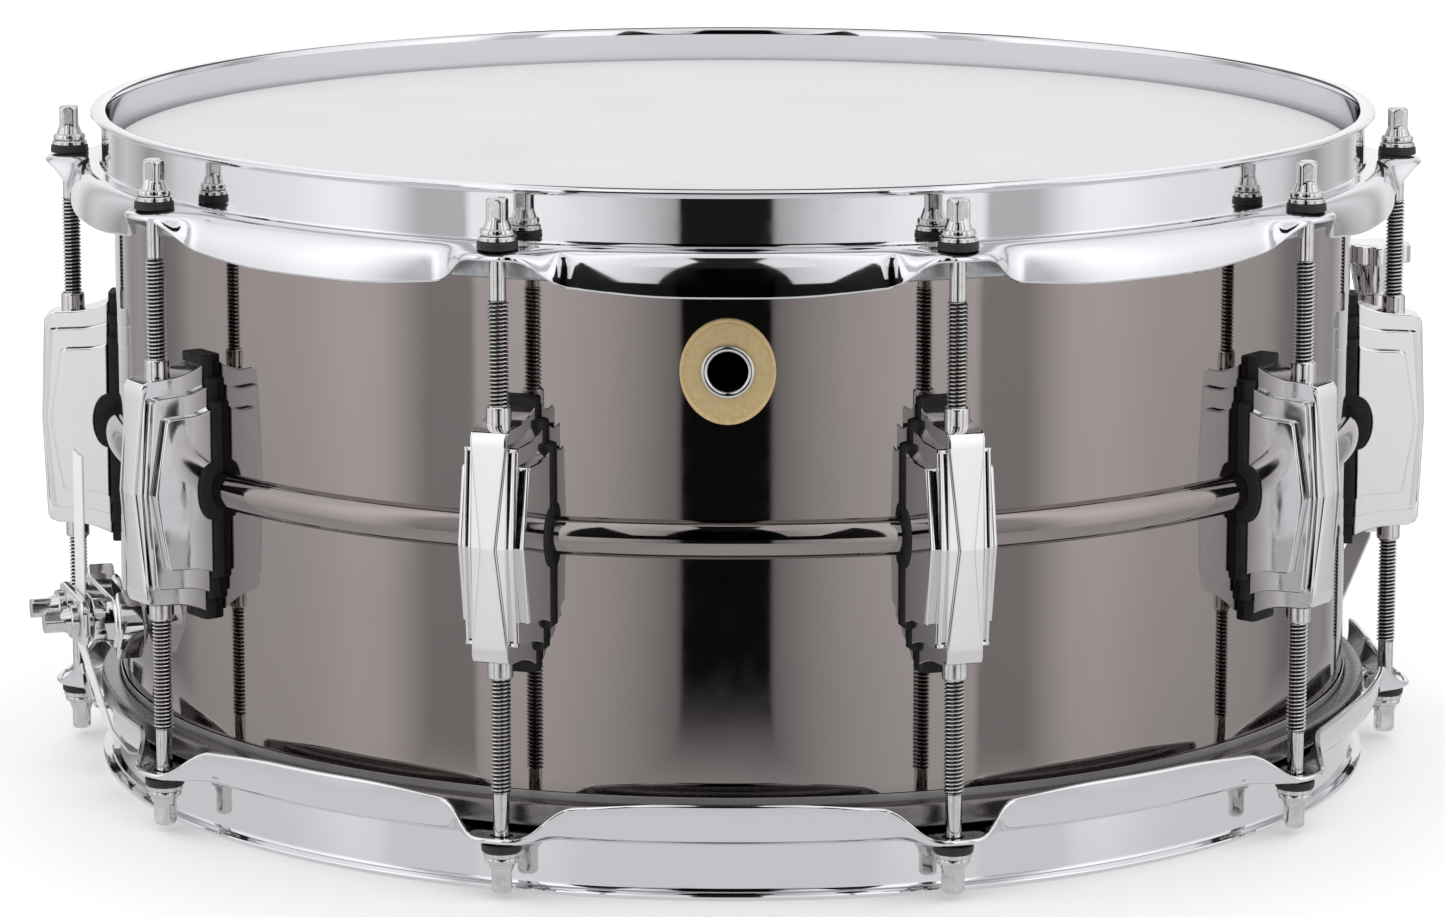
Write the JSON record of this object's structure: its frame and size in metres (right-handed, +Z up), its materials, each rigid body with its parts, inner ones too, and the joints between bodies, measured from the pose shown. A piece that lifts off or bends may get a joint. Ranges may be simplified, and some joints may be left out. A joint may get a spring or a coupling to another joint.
{
  "type": "snare drum",
  "caption": "Metal-shell snare drum with double-ended lugs, triple-flanged hoops, tension rods, throw-off, butt plate and snare wires.",
  "frame": {"origin": "on the drum's axis, in the plane of the lower hoop's rim that the drum stands on", "axes": "+Z up along the drum's axis, -Y towards the badge, +X towards the throw-off side"},
  "size_m": [0.4068, 0.385, 0.188],
  "materials": {
    "black_nickel": "mirror-polished black nickel plate",
    "chrome": "mirror-polished chrome plate",
    "badge_brass": "satin brass with a brighter edge",
    "bright_steel": "bright plated steel",
    "steel": "plain bright steel",
    "aluminium": "dull rolled aluminium",
    "black_rubber": "matte black rubber",
    "black_nylon": "matte black nylon",
    "white_nylon": "natural nylon",
    "coated_film": "white sprayed coating with a fine tooth",
    "clear_film": "thin hazy polyester film",
    "white_strap": "translucent off-white polyester strip"
  },
  "bodies": {
    "drum": {"shell": "black_nickel", "badge": "badge_brass", "vent_grommet": "bright_steel", "lug_gaskets": "black_rubber", "swivel_nuts": "chrome", "nut_spacers": "white_nylon", "lug_screws_and_washers": "steel", "batter_film": "coated_film", "batter_flesh_hoop": "aluminium", "snare_side_film": "clear_film", "snare_side_flesh_hoop": "aluminium", "batter_hoop": "chrome", "snare_side_hoop": "chrome", "rod_steel_washers": "chrome", "rod_nylon_washers": "black_nylon", "butt_casting": "chrome", "butt_clamp_plate": "chrome", "butt_key_screws": "chrome", "butt_strap": "white_strap", "throw_off_base": "chrome", "lever_pin": "steel", "strainer_screws_and_washers": "steel", "lug_casing_01": "chrome", "lug_casing_02": "chrome", "lug_casing_03": "chrome", "lug_casing_04": "chrome", "lug_casing_05": "chrome", "lug_casing_06": "chrome", "lug_casing_07": "chrome", "lug_casing_08": "chrome", "lug_casing_09": "chrome", "lug_casing_10": "chrome"},
    "lever": {"throw_off_lever": "chrome"},
    "slide": {"slide_block": "chrome", "slide_clamp_plate": "chrome", "slide_key_screws": "chrome", "throw_off_strap": "white_strap"},
    "snares": {"snare_coils": "steel", "snare_end_plates": "steel"},
    "adjuster": {"adjuster_knob": "chrome"},
    "top_rod_01": {"top_rod_01": "chrome"},
    "top_rod_02": {"top_rod_02": "chrome"},
    "top_rod_03": {"top_rod_03": "chrome"},
    "top_rod_04": {"top_rod_04": "chrome"},
    "top_rod_05": {"top_rod_05": "chrome"},
    "top_rod_06": {"top_rod_06": "chrome"},
    "top_rod_07": {"top_rod_07": "chrome"},
    "top_rod_08": {"top_rod_08": "chrome"},
    "top_rod_09": {"top_rod_09": "chrome"},
    "top_rod_10": {"top_rod_10": "chrome"},
    "bottom_rod_01": {"bottom_rod_01": "chrome"},
    "bottom_rod_02": {"bottom_rod_02": "chrome"},
    "bottom_rod_03": {"bottom_rod_03": "chrome"},
    "bottom_rod_04": {"bottom_rod_04": "chrome"},
    "bottom_rod_05": {"bottom_rod_05": "chrome"},
    "bottom_rod_06": {"bottom_rod_06": "chrome"},
    "bottom_rod_07": {"bottom_rod_07": "chrome"},
    "bottom_rod_08": {"bottom_rod_08": "chrome"},
    "bottom_rod_09": {"bottom_rod_09": "chrome"},
    "bottom_rod_10": {"bottom_rod_10": "chrome"}
  },
  "joints": [
    {"name": "top_rod_01_turn", "type": "hinge", "parent": "drum", "child": "top_rod_01", "pos_m": [0.05918, -0.18213, 0.15], "axis": [0, 0, 1], "continuous": true},
    {"name": "top_rod_02_turn", "type": "hinge", "parent": "drum", "child": "top_rod_02", "pos_m": [0.15493, -0.11256, 0.15], "axis": [0, 0, 1], "continuous": true},
    {"name": "top_rod_03_turn", "type": "hinge", "parent": "drum", "child": "top_rod_03", "pos_m": [0.1915, 0, 0.15], "axis": [0, 0, 1], "continuous": true},
    {"name": "top_rod_04_turn", "type": "hinge", "parent": "drum", "child": "top_rod_04", "pos_m": [0.15493, 0.11256, 0.15], "axis": [0, 0, 1], "continuous": true},
    {"name": "top_rod_05_turn", "type": "hinge", "parent": "drum", "child": "top_rod_05", "pos_m": [0.05918, 0.18213, 0.15], "axis": [0, 0, 1], "continuous": true},
    {"name": "top_rod_06_turn", "type": "hinge", "parent": "drum", "child": "top_rod_06", "pos_m": [-0.05918, 0.18213, 0.15], "axis": [0, 0, 1], "continuous": true},
    {"name": "top_rod_07_turn", "type": "hinge", "parent": "drum", "child": "top_rod_07", "pos_m": [-0.15493, 0.11256, 0.15], "axis": [0, 0, 1], "continuous": true},
    {"name": "top_rod_08_turn", "type": "hinge", "parent": "drum", "child": "top_rod_08", "pos_m": [-0.1915, 0, 0.15], "axis": [0, 0, 1], "continuous": true},
    {"name": "top_rod_09_turn", "type": "hinge", "parent": "drum", "child": "top_rod_09", "pos_m": [-0.15493, -0.11256, 0.15], "axis": [0, 0, 1], "continuous": true},
    {"name": "top_rod_10_turn", "type": "hinge", "parent": "drum", "child": "top_rod_10", "pos_m": [-0.05918, -0.18213, 0.15], "axis": [0, 0, 1], "continuous": true},
    {"name": "bottom_rod_01_turn", "type": "hinge", "parent": "drum", "child": "bottom_rod_01", "pos_m": [0.05918, -0.18213, 0.038], "axis": [0, 0, 1], "continuous": true},
    {"name": "bottom_rod_02_turn", "type": "hinge", "parent": "drum", "child": "bottom_rod_02", "pos_m": [0.15493, -0.11256, 0.038], "axis": [0, 0, 1], "continuous": true},
    {"name": "bottom_rod_03_turn", "type": "hinge", "parent": "drum", "child": "bottom_rod_03", "pos_m": [0.1915, 0, 0.038], "axis": [0, 0, 1], "continuous": true},
    {"name": "bottom_rod_04_turn", "type": "hinge", "parent": "drum", "child": "bottom_rod_04", "pos_m": [0.15493, 0.11256, 0.038], "axis": [0, 0, 1], "continuous": true},
    {"name": "bottom_rod_05_turn", "type": "hinge", "parent": "drum", "child": "bottom_rod_05", "pos_m": [0.05918, 0.18213, 0.038], "axis": [0, 0, 1], "continuous": true},
    {"name": "bottom_rod_06_turn", "type": "hinge", "parent": "drum", "child": "bottom_rod_06", "pos_m": [-0.05918, 0.18213, 0.038], "axis": [0, 0, 1], "continuous": true},
    {"name": "bottom_rod_07_turn", "type": "hinge", "parent": "drum", "child": "bottom_rod_07", "pos_m": [-0.15493, 0.11256, 0.038], "axis": [0, 0, 1], "continuous": true},
    {"name": "bottom_rod_08_turn", "type": "hinge", "parent": "drum", "child": "bottom_rod_08", "pos_m": [-0.1915, 0, 0.038], "axis": [0, 0, 1], "continuous": true},
    {"name": "bottom_rod_09_turn", "type": "hinge", "parent": "drum", "child": "bottom_rod_09", "pos_m": [-0.15493, -0.11256, 0.038], "axis": [0, 0, 1], "continuous": true},
    {"name": "bottom_rod_10_turn", "type": "hinge", "parent": "drum", "child": "bottom_rod_10", "pos_m": [-0.05918, -0.18213, 0.038], "axis": [0, 0, 1], "continuous": true},
    {"name": "lever_swing", "type": "hinge", "parent": "drum", "child": "lever", "pos_m": [0.19449, 0.06319, 0.076], "axis": [0.9511, 0.309, 0], "range_deg": [-95.5, 0]},
    {"name": "slide_drop", "type": "slide", "parent": "drum", "child": "slide", "axis": [0, 0, -1], "range_m": [0, 0.0042]},
    {"name": "snare_release", "type": "hinge", "parent": "drum", "child": "snares", "pos_m": [-0.15027, -0.04883, 0.0095], "axis": [-0.309, 0.9511, 0], "range_deg": [0, 0.77]},
    {"name": "adjuster_turn", "type": "hinge", "parent": "drum", "child": "adjuster", "pos_m": [0.19306, 0.06273, 0.125], "axis": [0, 0, 1], "continuous": true}
  ],
  "couplings": [
    {"joint": "lever_swing", "follows": "slide_drop", "rad_per_m": -394.78},
    {"joint": "snare_release", "follows": "slide_drop", "rad_per_m": 3.1167}
  ]
}
